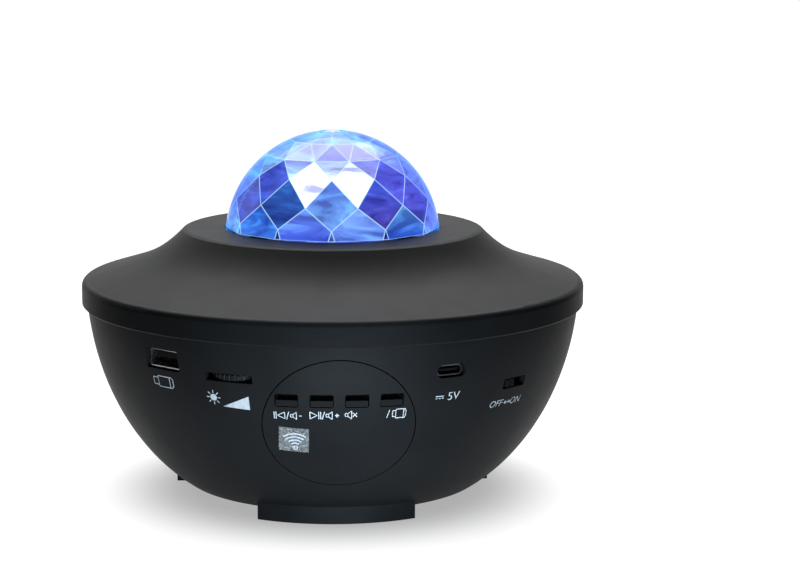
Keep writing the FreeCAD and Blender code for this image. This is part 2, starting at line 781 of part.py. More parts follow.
def ir_receiver():
    middle = panel_centre + vec(remote_window_across, 0, 0) + panel_up * remote_window_up
    azimuth = degrees(atan2(middle.x, -middle.y))
    front = -bowl_radius(middle.z - 3.0, bowl_wall) + 2.0
    body = block(5.6, front, front + 3.4, middle.z - 3.0, middle.z + 3.6)
    eye = Part.makeSphere(2.1, vec(0, front + 0.6, middle.z))
    legs = [block(0.5, front + 1.4, front + 2.0, middle.z + 3.0, board_low_z, offset) for offset in (-1.9, 0, 1.9)]
    return turned(fused([body, eye] + legs), azimuth)


def board_chips():
    chips = [block(9.0, -58.0, -49.0, board_top_z, board_top_z + 1.4, -6.0)]
    chips.append(block(6.0, -56.0, -51.0, board_top_z, board_top_z + 1.4, 12.0))
    chips.append(block(5.0, -47.0, -42.5, board_top_z, board_top_z + 1.2, 35.0))
    chips.append(cylinder(3.1, board_top_z, board_top_z + 7.0, 44.0, -46.0))
    chips.append(cylinder(3.1, board_top_z, board_top_z + 7.0, -36.0, -44.0))
    return Part.makeCompound(chips)


radio_edge_gap = 1.5
radio_width = 12.0
radio_length = 10.0
radio_can_length = 7.0
radio_base_height = 0.8
radio_height = 2.6


def radio_module():
    front = -board_radius + radio_edge_gap
    base = block(radio_width, front, front + radio_length, board_top_z, board_top_z + radio_base_height, 2.0)
    can = block(radio_width - 2.0, front + 1.0, front + radio_can_length, board_top_z + radio_base_height,
                board_top_z + radio_height, 2.0)
    return base.fuse(can).removeSplitter()


# Light engine: deck, heat sink, lamps, laser, drive
chassis_screw_length = 8.0
deck_top_z = chassis_z + chassis_thickness
sink_top_z = deck_top_z + heat_sink_height
led_board_top_z = sink_top_z + led_board_thickness
ring_pitch_radius = gear_module * ring_teeth / 2
pinion_pitch_radius = gear_module * pinion_teeth / 2
gear_spacing = ring_pitch_radius + pinion_pitch_radius
gear_top_z = gear_z + gear_width
hub_radius = barrel_radius + 2.5


def gear(teeth, low_z, high_z, phase):
    """Spur gear with straight-flanked teeth of a standard depth."""
    pitch_radius = gear_module * teeth / 2
    root, tip = pitch_radius - 1.2 * gear_module, pitch_radius + 0.85 * gear_module
    shares = ((root, -0.36), (pitch_radius, -0.235), (tip, -0.12), (tip, 0.12), (pitch_radius, 0.235), (root, 0.36))
    outline = []
    for i in range(teeth):
        for radius, share in shares:
            angle = 2 * pi * (i + share + phase) / teeth
            outline.append(vec(radius * sin(angle), -radius * cos(angle), low_z))
    face = Part.Face(Part.makePolygon(outline + [outline[0]]))
    return face.extrude(vec(0, 0, high_z - low_z))


def chassis():
    deck = cylinder(chassis_radius, chassis_z, deck_top_z)
    tower_x, tower_y = at(motor_azimuth, gear_spacing)
    cuts = [pilot(x, y, chassis_z - 1, deck_top_z + 1) for x, y in post_places(chassis_post_start)]
    cuts += [cylinder(post_radius + 2 * joint_gap, chassis_z - 1, deck_top_z + 1, x, y)
             for x, y in post_places(base_post_start)]
    vent = sector(34.0, 24.0, chassis_z - 1, deck_top_z + 1, 15.0)
    cuts += [turned(vent, a) for a in (-90, -45, 45, 90)]
    cuts.append(cylinder(barrel_radius + fit_gap, chassis_z - 1, deck_top_z + 1))
    collar = tube(motor_radius + 1.6, motor_radius + fit_gap, deck_top_z - 0.5, deck_top_z + 4.0, tower_x, tower_y)
    return deck.fuse(collar).removeSplitter().cut(cuts)


def chassis_screws():
    screws = [screw(x, y, chassis_z - screw_head_height, chassis_screw_length)
              for x, y in post_places(chassis_post_start)]
    return Part.makeCompound(screws)


def heat_sink():
    base = cylinder(heat_sink_radius, deck_top_z, sink_top_z)
    base = base.cut(cylinder(barrel_radius + fit_gap, deck_top_z - 1, sink_top_z + 1))
    groove = Part.makeBox(2 * rim_radius, 1.6, heat_sink_height - 3.0, vec(-rim_radius, -0.8, deck_top_z))
    grooves = [moved(groove, 0, 3.2 * i, 0) for i in range(-4, 5)]
    return base.cut([g for g in grooves])


def led_board():
    return tube(led_board_radius, barrel_radius + fit_gap, sink_top_z, led_board_top_z)


def leds():
    base = block(4.0, -led_circle - 2.0, -led_circle + 2.0, led_board_top_z, led_board_top_z + 0.8)
    lens = Part.makeSphere(1.7, vec(0, -led_circle, led_board_top_z + 0.8))
    lens = lens.common(block(6, -led_circle - 3, -led_circle + 3, led_board_top_z + 0.4, led_board_top_z + 3))
    return Part.makeCompound(around(base.fuse(lens).removeSplitter(), led_count, 45))


def laser_barrel():
    barrel = tube(barrel_radius, barrel_radius - 1.2, chassis_z + 0.5, barrel_top_z)
    plug = cylinder(barrel_radius - 1.2, chassis_z + 0.5, chassis_z + 8)
    return barrel.fuse(plug).removeSplitter()


def laser_lens():
    radius = barrel_radius - 1.2 - running_gap
    body = cylinder(radius, barrel_top_z - 4, barrel_top_z)
    return body.common(Part.makeSphere(4.6, vec(0, 0, barrel_top_z - 4.6)))


def ring_gear():
    wheel = gear(ring_teeth, gear_z, gear_top_z, 0.0)
    hub = cylinder(hub_radius, gear_z - 1.5, gear_top_z + 2.0)
    spoke_window = sector(ring_pitch_radius - 4.5, hub_radius + 2.0, gear_z - 1, gear_top_z + 1, 24.0)
    wheel = wheel.cut(around(spoke_window, 6))
    bore = cylinder(barrel_radius + running_gap, gear_z - 3, gear_top_z + 4)
    return wheel.fuse(hub).removeSplitter().cut(bore)


ripple_radius = ring_pitch_radius - 2.0


def ripple_lens():
    inner_radius = hub_radius + fit_gap
    samples = 4 * ripple_count
    top, under = [], []
    for i in range(samples + 1):
        share = i / samples
        radius = ripple_radius - (ripple_radius - inner_radius) * share
        crown = ripple_height * sin(share * pi / 2)
        wave = ripple_depth * cos(2 * pi * ripple_count * share)
        top.append(profile_point(radius, gear_top_z + ripple_wall + crown + wave))
        under.append(profile_point(radius, gear_top_z + crown + fit_gap))
    return revolved([smooth(top), line(top[-1], under[-1]), smooth(under[::-1]), line(under[0], top[0])])


pinion_phase = (motor_azimuth * ring_teeth + (motor_azimuth + FULL_TURN / 2) * pinion_teeth) / FULL_TURN - 0.5


def drive_pinion():
    pinion = gear(pinion_teeth, gear_z - 0.3, gear_top_z + 0.3, pinion_phase)
    pinion = pinion.cut(cylinder(shaft_radius + running_gap, gear_z - 3, gear_top_z + 3))
    x, y = at(motor_azimuth, gear_spacing)
    return moved(pinion, x, y, 0)


def drive_motor():
    x, y = at(motor_azimuth, gear_spacing)
    can_top = gear_z - 2.2
    can = cylinder(motor_radius, deck_top_z, can_top, x, y)
    nose = cylinder(shaft_radius + 1.4, can_top, gear_z - 0.6, x, y)
    shaft = cylinder(shaft_radius, can_top, gear_top_z + 1.0, x, y)
    return can.fuse([nose, shaft]).removeSplitter()


# Loudspeaker
def speaker_gasket():
    return tube(speaker_radius - 1.0, speaker_inner, inner_floor_z, gasket_top_z)


def speaker_frame():
    flange = tube(speaker_radius, speaker_inner, gasket_top_z, speaker_flange_z)
    ears = [cylinder(speaker_ear_radius, gasket_top_z, speaker_flange_z, x, y) for x, y in speaker_boss_places()]
    neck = magnet_radius - 2.0
    outer = [profile_point(speaker_inner + 1.0, speaker_flange_z - 0.4), profile_point(neck, speaker_top_z)]
    sheet = speaker_sheet
    inner = [profile_point(neck - sheet, speaker_top_z), profile_point(neck - sheet, speaker_top_z - sheet)]
    inner += [profile_point(speaker_inner - sheet + 1.0, speaker_flange_z - 0.4)]
    basket = revolved(lines(outer + inner + [outer[0]]))
    plate = cylinder(neck, speaker_top_z - sheet, speaker_top_z)
    frame = fused([flange] + ears + [basket, plate])
    window = sector(speaker_inner + 2.0, magnet_radius - 1.0, speaker_flange_z + 1.2, speaker_top_z - 1.6, 22.0)
    cuts = around(window, 4)
    cuts += [pilot(x, y, gasket_top_z - 1, speaker_flange_z + 1) for x, y in speaker_boss_places()]
    cuts.append(cylinder(speaker_inner, gasket_top_z - 1, speaker_flange_z - 0.4))
    return frame.cut(cuts)


def speaker_magnet():
    low = speaker_top_z
    back = cylinder(magnet_radius, low, low + magnet_height)
    return back.makeChamfer(0.8, [e for e in back.Edges if len(e.Vertexes) == 1 and e.BoundBox.ZMax > low + 1])


def speaker_cone():
    """Paper cone with a half-roll surround and a dust cap, as half of its section turned."""
    edge = speaker_inner - joint_gap
    low = gasket_top_z + fit_gap
    under = [(edge, low), (edge - surround_width / 2, low + surround_rise), (edge - surround_width, low)]
    under += [(dust_cap_radius, low + cone_depth), (0.0, low + cone_depth - dust_cap_depth)]
    lower = [profile_point(r, z) for r, z in under]
    upper = [profile_point(r, z + cone_sheet) for r, z in under]
    return revolved(lines(lower + upper[::-1] + [lower[0]]))


def speaker_screws():
    top = speaker_flange_z + screw_head_height
    length = speaker_flange_z - inner_floor_z + 0.8
    return Part.makeCompound([screw(x, y, top, length, False) for x, y in speaker_boss_places()])


def export(name, shape):
    solids = shape.Solids
    kept = solids[0] if len(solids) == 1 else Part.makeCompound(solids)
    kept.exportStep(os.path.join("parts", name + ".step"))
    box = kept.BoundBox
    print("%-20s solids %2d valid %s volume %9.1f  x %.1f %.1f  y %.1f %.1f  z %.1f %.1f" % (
        name, len(solids), kept.isValid(), kept.Volume, box.XMin, box.XMax, box.YMin, box.YMax, box.ZMin, box.ZMax))


os.makedirs("parts", exist_ok=True)
for piece in (lower_bowl, foot_pads, base_screws, top_cover, faceted_dome, dome_window, dome_ring,
              dome_ring_screws, control_panel, remote_window, tact_switches, main_board, board_screws,
              usb_a_shell, usb_a_tongue, usb_c_shell, usb_c_tongue, brightness_wheel, potentiometer,
              slide_switch_body, power_slider, ir_receiver, board_chips, radio_module, chassis,
              chassis_screws, heat_sink, led_board, leds, laser_barrel, laser_lens, ring_gear, ripple_lens,
              drive_pinion, drive_motor, speaker_gasket, speaker_frame, speaker_magnet, speaker_cone,
              speaker_screws):
    export(piece.__name__, piece())
for name, azimuth in zip(("key_back", "key_play", "key_mute", "key_mode"), key_azimuths()):
    export(name, key(azimuth))
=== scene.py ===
# Star night light projector: finishes, printed marks, lit dome and stage around the fixed frame
import bpy, bmesh, json
from math import sin, cos, radians, pi, sqrt, hypot
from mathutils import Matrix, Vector


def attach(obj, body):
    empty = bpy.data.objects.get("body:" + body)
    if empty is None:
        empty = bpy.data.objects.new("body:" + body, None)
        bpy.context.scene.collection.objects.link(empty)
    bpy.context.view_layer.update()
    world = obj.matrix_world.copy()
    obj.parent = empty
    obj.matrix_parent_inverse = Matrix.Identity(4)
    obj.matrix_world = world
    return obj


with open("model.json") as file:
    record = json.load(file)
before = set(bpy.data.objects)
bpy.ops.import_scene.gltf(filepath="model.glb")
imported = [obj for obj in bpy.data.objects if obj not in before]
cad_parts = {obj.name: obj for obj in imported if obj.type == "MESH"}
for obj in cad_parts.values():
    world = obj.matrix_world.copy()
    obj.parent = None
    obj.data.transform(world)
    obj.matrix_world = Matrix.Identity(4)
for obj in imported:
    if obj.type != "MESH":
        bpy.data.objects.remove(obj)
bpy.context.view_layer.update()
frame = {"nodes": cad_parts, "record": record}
nodes = frame["nodes"]
mm = 0.001
print("frame loaded,", len(nodes), "nodes")


def placed(name, data):
    item = bpy.data.objects.new(name, data)
    bpy.context.scene.collection.objects.link(item)
    return item


# Building blocks of the materials
def newMaterial(name):
    material = bpy.data.materials.new(name)
    material.use_nodes = True
    tree = material.node_tree
    tree.nodes.clear()
    output = tree.nodes.new("ShaderNodeOutputMaterial")
    shader = tree.nodes.new("ShaderNodeBsdfPrincipled")
    tree.links.new(shader.outputs["BSDF"], output.inputs["Surface"])
    return material, tree, shader


def objectPlace(tree, scale=(1, 1, 1)):
    place = tree.nodes.new("ShaderNodeTexCoord")
    mapping = tree.nodes.new("ShaderNodeMapping")
    mapping.inputs["Scale"].default_value = scale
    tree.links.new(place.outputs["Object"], mapping.inputs["Vector"])
    return mapping.outputs["Vector"]


def noiseAt(tree, place, scale, detail, roughness=0.55, distortion=0.0):
    noise = tree.nodes.new("ShaderNodeTexNoise")
    noise.inputs["Scale"].default_value = scale
    noise.inputs["Detail"].default_value = detail
    noise.inputs["Roughness"].default_value = roughness
    noise.inputs["Distortion"].default_value = distortion
    tree.links.new(place, noise.inputs["Vector"])
    return noise.outputs["Fac"]


def ramp(tree, source, stops):
    node = tree.nodes.new("ShaderNodeValToRGB")
    while len(node.color_ramp.elements) < len(stops):
        node.color_ramp.elements.new(0.5)
    for element, (position, colour) in zip(node.color_ramp.elements, stops):
        element.position = position
        element.color = (*colour, 1)
    tree.links.new(source, node.inputs["Fac"])
    return node.outputs["Color"]


def spread(tree, source, low, high):
    node = tree.nodes.new("ShaderNodeMapRange")
    node.inputs["To Min"].default_value = low
    node.inputs["To Max"].default_value = high
    tree.links.new(source, node.inputs["Value"])
    return node.outputs["Result"]


def bumped(tree, shader, height, strength, distance):
    bump = tree.nodes.new("ShaderNodeBump")
    bump.inputs["Strength"].default_value = strength
    bump.inputs["Distance"].default_value = distance
    tree.links.new(height, bump.inputs["Height"])
    tree.links.new(bump.outputs["Normal"], shader.inputs["Normal"])


# Moulded plastic and rubber: faint clouds of tone, uneven gloss and a fine grain
moulding = dict(cloudScale=38.0, cloudDetail=4.0, darkStop=0.3, lightStop=0.75, smearScale=95.0,
                smearDetail=5.0, smearRoughness=0.65, glossier=0.05, duller=0.06, grainDetail=2.0,
                grainHeight=0.00006)


def mouldedPlastic(name, dark, light, roughness, grain=2600.0, bump=0.22, specular=0.5):
    material, tree, shader = newMaterial(name)
    place = objectPlace(tree)
    clouds = noiseAt(tree, place, moulding["cloudScale"], moulding["cloudDetail"])
    stops = [(moulding["darkStop"], dark), (moulding["lightStop"], light)]
    tree.links.new(ramp(tree, clouds, stops), shader.inputs["Base Color"])
    smears = noiseAt(tree, place, moulding["smearScale"], moulding["smearDetail"], moulding["smearRoughness"])
    gloss = spread(tree, smears, roughness - moulding["glossier"], roughness + moulding["duller"])
    tree.links.new(gloss, shader.inputs["Roughness"])
    grains = noiseAt(tree, place, grain, moulding["grainDetail"])
    bumped(tree, shader, grains, bump, moulding["grainHeight"])
    shader.inputs["Specular IOR Level"].default_value = specular
    return material


# Drawn or plated metal: fine parallel streaks in tone, gloss and height
brushing = dict(stretch=(60.0, 60.0, 2500.0), scale=1.0, detail=4.0, roughness=0.6, darkStop=0.25,
                lightStop=0.8, duller=0.16, bump=0.12, height=0.00004)


def brushedMetal(name, dark, light, roughness):
    material, tree, shader = newMaterial(name)
    place = objectPlace(tree, brushing["stretch"])
    streaks = noiseAt(tree, place, brushing["scale"], brushing["detail"], brushing["roughness"])
    stops = [(brushing["darkStop"], dark), (brushing["lightStop"], light)]
    tree.links.new(ramp(tree, streaks, stops), shader.inputs["Base Color"])
    gloss = spread(tree, streaks, roughness, roughness + brushing["duller"])
    tree.links.new(gloss, shader.inputs["Roughness"])
    bumped(tree, shader, streaks, brushing["bump"], brushing["height"])
    shader.inputs["Metallic"].default_value = 1.0
    return material


# Lenses: clear plastic with slow waves
clearing = dict(scale=160.0, detail=3.0, tintStop=0.2, clearStop=0.8, clearest=(0.96, 0.98, 1.0), duller=0.06,
                bump=0.1, height=0.0002, index=1.49)


def clearPlastic(name, tint, roughness):
    material, tree, shader = newMaterial(name)
    waves = noiseAt(tree, objectPlace(tree), clearing["scale"], clearing["detail"])
    stops = [(clearing["tintStop"], tint), (clearing["clearStop"], clearing["clearest"])]
    tree.links.new(ramp(tree, waves, stops), shader.inputs["Base Color"])
    gloss = spread(tree, waves, roughness, roughness + clearing["duller"])
    tree.links.new(gloss, shader.inputs["Roughness"])
    bumped(tree, shader, waves, clearing["bump"], clearing["height"])
    shader.inputs["Transmission Weight"].default_value = 1.0
    shader.inputs["IOR"].default_value = clearing["index"]
    return material


# Receiver window: silver film with a coarse sparkling grain under clear plastic
windowFilm = dict(cellScale=1900.0, fleckScale=4.0, fleckDetail=1.0, bump=0.35, height=0.00005,
                  roughness=0.34, metallic=0.2, coat=0.15,
                  stops=[(0.3, (0.05, 0.055, 0.06)), (0.5, (0.14, 0.15, 0.155)),
                         (0.75, (0.36, 0.38, 0.39))])


def silverGrain():
    material, tree, shader = newMaterial("remoteWindowSilver")
    cells = tree.nodes.new("ShaderNodeTexVoronoi")
    cells.inputs["Scale"].default_value = windowFilm["cellScale"]
    tree.links.new(objectPlace(tree), cells.inputs["Vector"])
    flecks = noiseAt(tree, cells.outputs["Color"], windowFilm["fleckScale"], windowFilm["fleckDetail"])
    tree.links.new(ramp(tree, flecks, windowFilm["stops"]), shader.inputs["Base Color"])
    bumped(tree, shader, flecks, windowFilm["bump"], windowFilm["height"])
    shader.inputs["Roughness"].default_value = windowFilm["roughness"]
    shader.inputs["Metallic"].default_value = windowFilm["metallic"]
    shader.inputs["Coat Weight"].default_value = windowFilm["coat"]
    return material


# Clear dome: glass whose tint deepens to blue where the eye looks along its wall, with a painted glow there
# that stands in for the light of the lamps inside
domeWall = dict(blend=0.5, waveScale=120.0, waveDetail=3.0, paintedGlowLow=0.5, paintedGlowHigh=1.3, bump=0.08,
                height=0.0001, roughness=0.01, index=1.08,
                tints=[(0.5, (0.95, 0.98, 1.0)), (0.68, (0.36, 0.6, 1.0)), (0.85, (0.1, 0.3, 0.9)),
                       (1.0, (0.04, 0.14, 0.6))],
                paintedGlows=[(0.5, (0.0, 0.0, 0.0)), (0.75, (0.01, 0.05, 0.16)), (0.92, (0.04, 0.2, 0.5)),
                       (1.0, (0.06, 0.16, 0.42))])


def domeGlass():
    material, tree, shader = newMaterial("domeClear")
    facing = tree.nodes.new("ShaderNodeLayerWeight")
    facing.inputs["Blend"].default_value = domeWall["blend"]
    waves = noiseAt(tree, objectPlace(tree), domeWall["waveScale"], domeWall["waveDetail"])
    tree.links.new(ramp(tree, facing.outputs["Facing"], domeWall["tints"]), shader.inputs["Base Color"])
    # painted glow: emission on the clear wall, stronger where the eye looks along it and varied by the waves
    tree.links.new(ramp(tree, facing.outputs["Facing"], domeWall["paintedGlows"]), shader.inputs["Emission Color"])
    power = spread(tree, waves, domeWall["paintedGlowLow"], domeWall["paintedGlowHigh"])
    tree.links.new(power, shader.inputs["Emission Strength"])
    bumped(tree, shader, waves, domeWall["bump"], domeWall["height"])
    shader.inputs["Roughness"].default_value = domeWall["roughness"]
    shader.inputs["Transmission Weight"].default_value = 1.0
    shader.inputs["IOR"].default_value = domeWall["index"]
    return material


# Circuit boards: green solder mask over paler traces
boardLook = dict(traceScale=190.0, traceDistortion=6.0, bump=0.2, height=0.00005, roughness=0.3,
                 stops=[(0.45, (0.002, 0.014, 0.006)), (0.6, (0.004, 0.03, 0.012)),
                        (0.9, (0.012, 0.06, 0.026))])


def circuitBoard():
    material, tree, shader = newMaterial("boardGreen")
    traces = tree.nodes.new("ShaderNodeTexWave")
    traces.inputs["Scale"].default_value = boardLook["traceScale"]
    traces.inputs["Distortion"].default_value = boardLook["traceDistortion"]
    tree.links.new(objectPlace(tree), traces.inputs["Vector"])
    tree.links.new(ramp(tree, traces.outputs["Fac"], boardLook["stops"]), shader.inputs["Base Color"])
    bumped(tree, shader, traces.outputs["Fac"], boardLook["bump"], boardLook["height"])
    shader.inputs["Roughness"].default_value = boardLook["roughness"]
    return material


plastics = {
    "casing_plastic": dict(name="casingBlack", dark=(0.0088, 0.0094, 0.0102), light=(0.0135, 0.0143, 0.0155),
                           roughness=0.5, specular=0.05),
    "key_plastic": dict(name="keyBlack", dark=(0.012, 0.0125, 0.013), light=(0.018, 0.0185, 0.019),
                        roughness=0.5, specular=0.04),
    "wheel_plastic": dict(name="wheelBlack", dark=(0.006, 0.006, 0.0065), light=(0.014, 0.014, 0.015),
                          roughness=0.45, specular=0.1),
    "slider_plastic": dict(name="sliderBlack", dark=(0.006, 0.006, 0.0065), light=(0.014, 0.014, 0.014),
                           roughness=0.45, specular=0.1),
    "foot_rubber": dict(name="footRubber", dark=(0.01, 0.01, 0.01), light=(0.018, 0.018, 0.018),
                        roughness=0.75, grain=1400.0, bump=0.5),
    "socket_black": dict(name="socketBlack", dark=(0.003, 0.003, 0.0032), light=(0.008, 0.008, 0.0085),
                         roughness=0.5, specular=0.08),
    "inner_white": dict(name="innerWhite", dark=(0.72, 0.73, 0.74), light=(0.8, 0.8, 0.8), roughness=0.5),
    "gear_white": dict(name="gearWhite", dark=(0.78, 0.78, 0.75), light=(0.85, 0.85, 0.83), roughness=0.4),
    "speaker_foam": dict(name="speakerFoam", dark=(0.02, 0.02, 0.02), light=(0.04, 0.04, 0.04),
                         roughness=0.9, grain=900.0, bump=0.8),
    "speaker_paper": dict(name="speakerPaper", dark=(0.02, 0.02, 0.02), light=(0.045, 0.044, 0.042),
                          roughness=0.85, grain=700.0, bump=0.7),
    "led_lens": dict(name="ledLens", dark=(0.85, 0.8, 0.35), light=(0.95, 0.92, 0.7), roughness=0.2),
}
metals = {
    "socket_metal": dict(name="socketNickel", dark=(0.62, 0.62, 0.6), light=(0.85, 0.85, 0.83),
                         roughness=0.2),
    "screw_steel": dict(name="screwZinc", dark=(0.5, 0.5, 0.52), light=(0.7, 0.7, 0.7), roughness=0.3),
    "radio_can": dict(name="radioTin", dark=(0.6, 0.6, 0.6), light=(0.75, 0.75, 0.74), roughness=0.3),
    "sink_aluminium": dict(name="sinkAluminium", dark=(0.65, 0.66, 0.67), light=(0.8, 0.8, 0.8),
                           roughness=0.32),
    "barrel_brass": dict(name="barrelBrass", dark=(0.6, 0.43, 0.16), light=(0.8, 0.62, 0.3), roughness=0.28),
    "motor_steel": dict(name="motorSteel", dark=(0.5, 0.5, 0.5), light=(0.68, 0.68, 0.68), roughness=0.3),
    "speaker_steel": dict(name="speakerSteel", dark=(0.1, 0.1, 0.1), light=(0.2, 0.2, 0.2), roughness=0.45),
}
# A darker metal for the USB socket shell: painted shade for the shade in its recess
shadedShell = dict(name="socketShadedNickel", dark=(0.05, 0.05, 0.055), light=(0.16, 0.16, 0.17), roughness=0.3)
lenses = {
    "lens_clear": dict(name="lensClear", tint=(0.9, 0.95, 1.0), roughness=0.03),
    "ripple_clear": dict(name="rippleClear", tint=(0.75, 0.85, 1.0), roughness=0.06),
}
finishes = {"remote_window_film": silverGrain(), "board_green": circuitBoard(), "dome_clear": domeGlass()}
finishes.update({slot: mouldedPlastic(**look) for slot, look in plastics.items()})
finishes.update({slot: brushedMetal(**look) for slot, look in metals.items()})
finishes.update({slot: clearPlastic(**look) for slot, look in lenses.items()})
for entry in frame["record"]["subparts"]:
    node = nodes[entry["node"]]
    node.data.materials.clear()
    node.data.materials.append(finishes[entry["material_slot"]])
nodes["usb_c_shell"].data.materials[0] = brushedMetal(**shadedShell)  # this socket's shell is darkened, painted shade standing in for the shade in its recess
print("materials on all nodes")

# Printed marks, drawn flat in millimetres and then laid on the bowl
# The bowl is an ellipse turned about the upright axis
bowl = dict(middleRadius=23.9, middleZ=73.6, halfWidth=58.78, halfHeight=77.8)
whitePrint = dict(thin=(0.48, 0.51, 0.54), full=(0.62, 0.66, 0.7), thinStop=0.3, fullStop=0.55,
                  speckScale=1500.0, speckDetail=3.0, bump=0.15, height=0.00003, roughness=0.5, lift=0.045,
                  cell=0.9, halvings=4, merge=0.001, lean=0.22, curveSteps=3)


def bowlRadius(z):
    share = (z - bowl["middleZ"]) / bowl["halfHeight"]
    return bowl["middleRadius"] + bowl["halfWidth"] * sqrt(max(1 - share * share, 0))


def bar(x0, y0, x1, y1, width):
    length = hypot(x1 - x0, y1 - y0)
    nx, ny = -(y1 - y0) / length * width / 2, (x1 - x0) / length * width / 2
    return [(x0 + nx, y0 + ny), (x0 - nx, y0 - ny), (x1 - nx, y1 - ny), (x1 + nx, y1 + ny)]


def outline(points, width):
    ring = points + [points[0]]
    return [bar(*a, *b, width) for a, b in zip(ring[:-1], ring[1:])]


def arcBand(y, radius, width, start, end, count):
    angles = [radians(start + (end - start) * i / count) for i in range(count + 1)]
    outer = [((radius + width / 2) * cos(a), y + (radius + width / 2) * sin(a)) for a in angles]
    inner = [((radius - width / 2) * cos(a), y + (radius - width / 2) * sin(a)) for a in angles]
    return [[outer[i], outer[i + 1], inner[i + 1], inner[i]] for i in range(count)]


sun = dict(disc=1.15, discSides=20, rays=8, rayFrom=1.5, rayTo=2.45, line=0.3)


def sunMark():
    rim = [2 * pi * i / sun["discSides"] for i in range(sun["discSides"])]
    shapes = [[(sun["disc"] * cos(a), sun["disc"] * sin(a)) for a in rim]]
    for a in [2 * pi * i / sun["rays"] for i in range(sun["rays"])]:
        near, far = sun["rayFrom"], sun["rayTo"]
        shapes.append(bar(near * cos(a), near * sin(a), far * cos(a), far * sin(a), sun["line"]))
    return shapes


stick = dict(width=8.8, height=3.6, line=0.32, shoulder=-0.22, bend=0.42, bendHalf=0.3, plugEnd=-0.46,
             plugHalf=0.34, seam=0.34)  # from shoulder on, as shares of the width and height


def stickMark(width, height, line):
    shoulder, bend, seam = [stick[key] * width for key in ("shoulder", "bend", "seam")]
    end, half, bendHalf = width / 2, height / 2, stick["bendHalf"] * height
    body = [(shoulder, -half), (bend, -half), (end, -bendHalf), (end, bendHalf), (bend, half),
            (shoulder, half)]
    plugEnd, plugHalf = stick["plugEnd"] * width, stick["plugHalf"] * height
    plug = [(plugEnd, -plugHalf), (shoulder, -plugHalf), (shoulder, plugHalf), (plugEnd, plugHalf)]
    return outline(body, line) + outline(plug, line) + [bar(seam, -half, seam, half, line)]


horn = dict(neck=0.8, mouth=1.9, neckHalf=0.5, mouthHalf=1.35, line=0.24)


def hornMark(x, size):
    neck, mouth = x + horn["neck"] * size, x + horn["mouth"] * size
    low, high = horn["neckHalf"] * size, horn["mouthHalf"] * size
    shape = [(x, -low), (neck, -low), (mouth, -high), (mouth, high), (neck, low), (x, low)]
    return outline(shape, horn["line"]) + [bar(neck, -low, neck, low, horn["line"])]


keyMarks = dict(arrowLine=0.26, barHalf=1.3, barLine=0.28, slashHalf=1.4, slashLean=0.4, slashLine=0.26)
back = dict(tip=-3.3, tail=-1.0, half=1.2, bars=(-4.3, -3.7), slash=-0.1, horn=0.8, hornSize=0.95,
            minusFrom=3.4, minusTo=4.3, signLine=0.3)
play = dict(tip=-2.2, tail=-4.4, half=1.25, bars=(-1.7, -1.1), slash=-0.3, horn=0.5, hornSize=1.0,
            plusFrom=3.2, plusTo=4.5, signLine=0.34)
mute = dict(horn=-2.7, hornSize=1.05, crossFrom=-0.3, crossTo=0.9, crossHalf=0.7, line=0.28)
mode = dict(slash=-2.6, width=8.0, height=4.2, line=0.42, narrowed=0.55, lowered=0.75, shift=0.8)


def slashMark(x):
    lean, half = keyMarks["slashLean"], keyMarks["slashHalf"]
    return [bar(x - lean, -half, x + lean, half, keyMarks["slashLine"])]


def skipMark(look):  # arrow, two bars, slash and horn, as on the first two keys
    arrow = [(look["tip"], 0.0), (look["tail"], look["half"]), (look["tail"], -look["half"])]
    high = keyMarks["barHalf"]
    bars = [bar(x, -high, x, high, keyMarks["barLine"]) for x in look["bars"]]
    return (outline(arrow, keyMarks["arrowLine"]) + bars + slashMark(look["slash"])
            + hornMark(look["horn"], look["hornSize"]))


def backMark():
    return skipMark(back) + [bar(back["minusFrom"], 0.0, back["minusTo"], 0.0, back["signLine"])]


def playMark():
    middle, half = (play["plusFrom"] + play["plusTo"]) / 2, (play["plusTo"] - play["plusFrom"]) / 2
    plus = [bar(play["plusFrom"], 0.0, play["plusTo"], 0.0, play["signLine"])]
    return skipMark(play) + plus + [bar(middle, -half, middle, half, play["signLine"])]


def muteMark():
    low, high, half = mute["crossFrom"], mute["crossTo"], mute["crossHalf"]
    cross = [bar(low, -half, high, half, mute["line"]), bar(low, half, high, -half, mute["line"])]
    return hornMark(mute["horn"], mute["hornSize"]) + cross


def modeMark():
    shapes = stickMark(mode["width"], mode["height"], mode["line"])
    squeezed = [[(x * mode["narrowed"] + mode["shift"], y * mode["lowered"]) for x, y in s] for s in shapes]
    return slashMark(mode["slash"]) + squeezed


receiver = dict(footY=-3.0, dot=0.65, dotLine=0.34, dotSides=16, arcs=(1.9, 3.1, 4.3, 5.5), arcLine=0.5,
                start=50, end=130, arcSides=12)


def receiverMark():
    shapes = arcBand(receiver["footY"], receiver["dot"], receiver["dotLine"], 0, 360, receiver["dotSides"])
    for radius in receiver["arcs"]:
        shapes += arcBand(receiver["footY"], radius, receiver["arcLine"], receiver["start"], receiver["end"],
                          receiver["arcSides"])
    return shapes


def lettering(text, size, x, y=0.0):  # plain letters as flat outlines, centred on x and y
    curve = bpy.data.curves.new("letters", "FONT")
    curve.body = text
    curve.size = size
    curve.align_x, curve.align_y = "CENTER", "CENTER"
    curve.resolution_u = whitePrint["curveSteps"]
    holder = placed("letters", curve)
    bpy.context.view_layer.update()
    mesh = bpy.data.meshes.new_from_object(holder.evaluated_get(bpy.context.evaluated_depsgraph_get()))
    flat = [(vertex.co.x + x, vertex.co.y + y) for vertex in mesh.vertices]
    shapes = [[flat[i] for i in face.vertices] for face in mesh.polygons]
    bpy.data.objects.remove(holder)
    bpy.data.meshes.remove(mesh)
    return shapes


supply = dict(letters=3.9, lettersX=1.9, signX=-2.9, start=-1.4, end=1.35, top=0.4, bottom=-0.35, dashes=3,
              dash=0.65, pitch=1.05, line=0.3)


